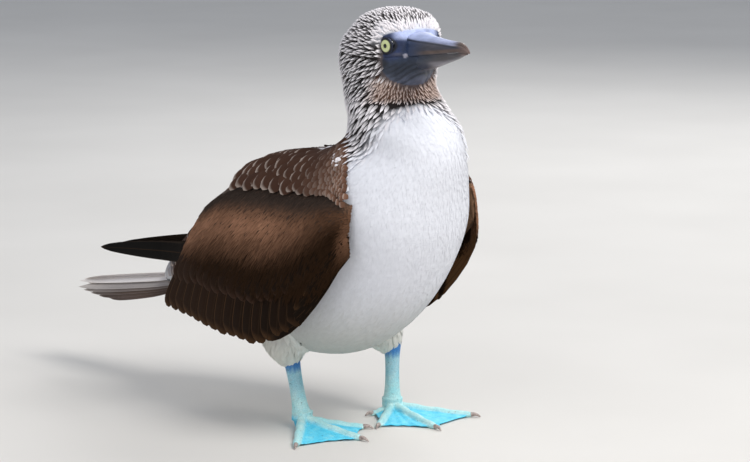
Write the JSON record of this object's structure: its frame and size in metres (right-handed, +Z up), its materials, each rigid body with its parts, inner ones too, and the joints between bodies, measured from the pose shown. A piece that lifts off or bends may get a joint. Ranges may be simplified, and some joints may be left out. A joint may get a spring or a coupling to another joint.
{
  "type": "bird model",
  "caption": "Life-size standing seabird with a long pointed bill, folded brown wings, white breast and webbed blue feet.",
  "frame": {"origin": "centre of the bounding box in plan, at floor level", "axes": "+Z up, the bird faces -Y, its left side is +X"},
  "size_m": [0.2258, 0.6108, 0.4205],
  "materials": {
    "body_feathers": "soft white plumage, matt",
    "neck_feathers": "pale feathers with dark brown streaks, matt",
    "wing_feathers": "dark brown plumage, matt",
    "flight_feathers": "blackish brown feather, faint sheen",
    "tail_feathers": "pale greyish brown feather, faint sheen",
    "bill": "blue-grey horn, satin",
    "eye": "wet and glossy, pale yellow iris",
    "leg_skin": "turquoise blue scaly skin, satin",
    "claw": "pale greyish pink horn, satin"
  },
  "bodies": {
    "root": {"torso": "body_feathers", "neck": "neck_feathers", "head": "neck_feathers", "bill_upper": "bill", "bill_lower": "bill", "eye_left": "eye", "eye_right": "eye", "wing_left": "wing_feathers", "wing_right": "wing_feathers", "primaries_left": "flight_feathers", "primaries_right": "flight_feathers", "tail": "tail_feathers", "thigh_left": "body_feathers", "tarsus_left": "leg_skin", "foot_left": "leg_skin", "claw_outer_left": "claw", "claw_middle_left": "claw", "claw_inner_left": "claw", "claw_hind_left": "claw", "thigh_right": "body_feathers", "tarsus_right": "leg_skin", "foot_right": "leg_skin", "claw_outer_right": "claw", "claw_middle_right": "claw", "claw_inner_right": "claw", "claw_hind_right": "claw"}
  },
  "joints": []
}
